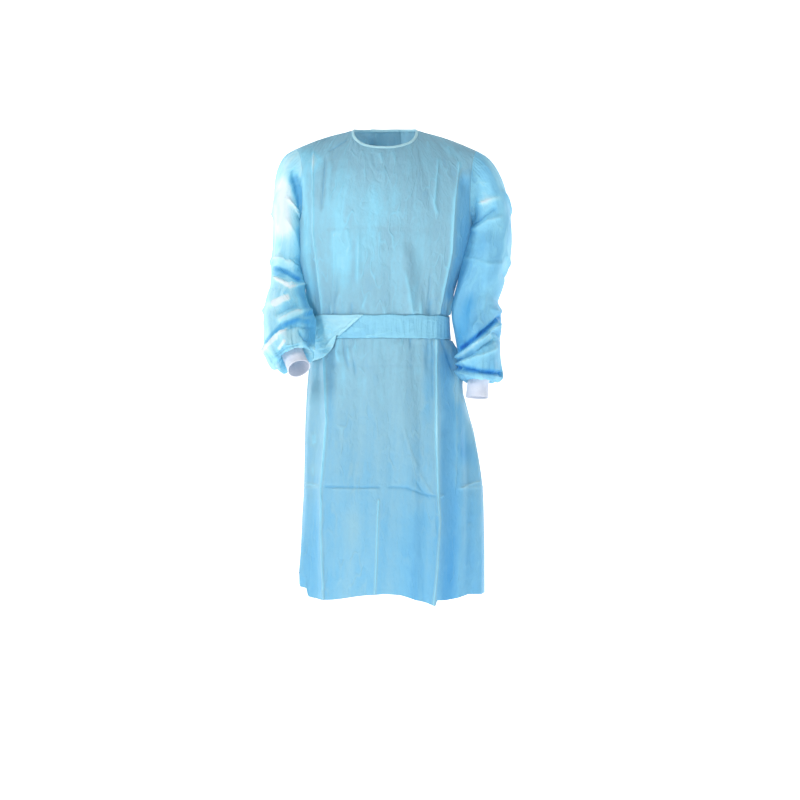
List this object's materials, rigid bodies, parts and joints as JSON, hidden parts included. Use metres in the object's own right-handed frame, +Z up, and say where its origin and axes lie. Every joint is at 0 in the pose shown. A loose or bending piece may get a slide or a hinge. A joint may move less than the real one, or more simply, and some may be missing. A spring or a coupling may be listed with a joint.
{
  "type": "isolation gown",
  "caption": "Knee-length isolation gown in light blue nonwoven cloth, worn open and hollow, with long sleeves, knitted cuffs, bound round neck and tied waist belt.",
  "frame": {"origin": "midway between the two ends of the neckline on the shoulder seams, where the shoulders carry the gown", "axes": "+Z up, -Y the way the gown faces, +X to its left side as worn; the arms are in their worn pose"},
  "size_m": [0.5985, 0.3622, 1.1549],
  "materials": {
    "front_cloth": "light spunbond nonwoven polypropylene, matt with a soft sheen",
    "back_left_cloth": "light spunbond nonwoven polypropylene, matt with a soft sheen",
    "back_right_cloth": "light spunbond nonwoven polypropylene, matt with a soft sheen",
    "sleeve_left_cloth": "light spunbond nonwoven polypropylene, matt with a soft sheen",
    "sleeve_right_cloth": "light spunbond nonwoven polypropylene, matt with a soft sheen",
    "binding_cloth": "light spunbond nonwoven polypropylene, matt with a soft sheen",
    "belt_cloth": "light spunbond nonwoven polypropylene, matt with a soft sheen",
    "cuff_knit": "white rib knit, matt"
  },
  "bodies": {
    "root": {"front": "front_cloth", "back_left": "back_left_cloth", "back_right": "back_right_cloth", "sleeve_left": "sleeve_left_cloth", "sleeve_right": "sleeve_right_cloth", "cuff_left": "cuff_knit", "cuff_right": "cuff_knit", "neck_binding": "binding_cloth", "neck_knot": "binding_cloth", "neck_tie_left": "binding_cloth", "neck_tie_right": "binding_cloth", "belt": "belt_cloth", "belt_fold": "belt_cloth", "belt_knot": "belt_cloth", "belt_end_left": "belt_cloth", "belt_end_right": "belt_cloth"}
  },
  "joints": []
}
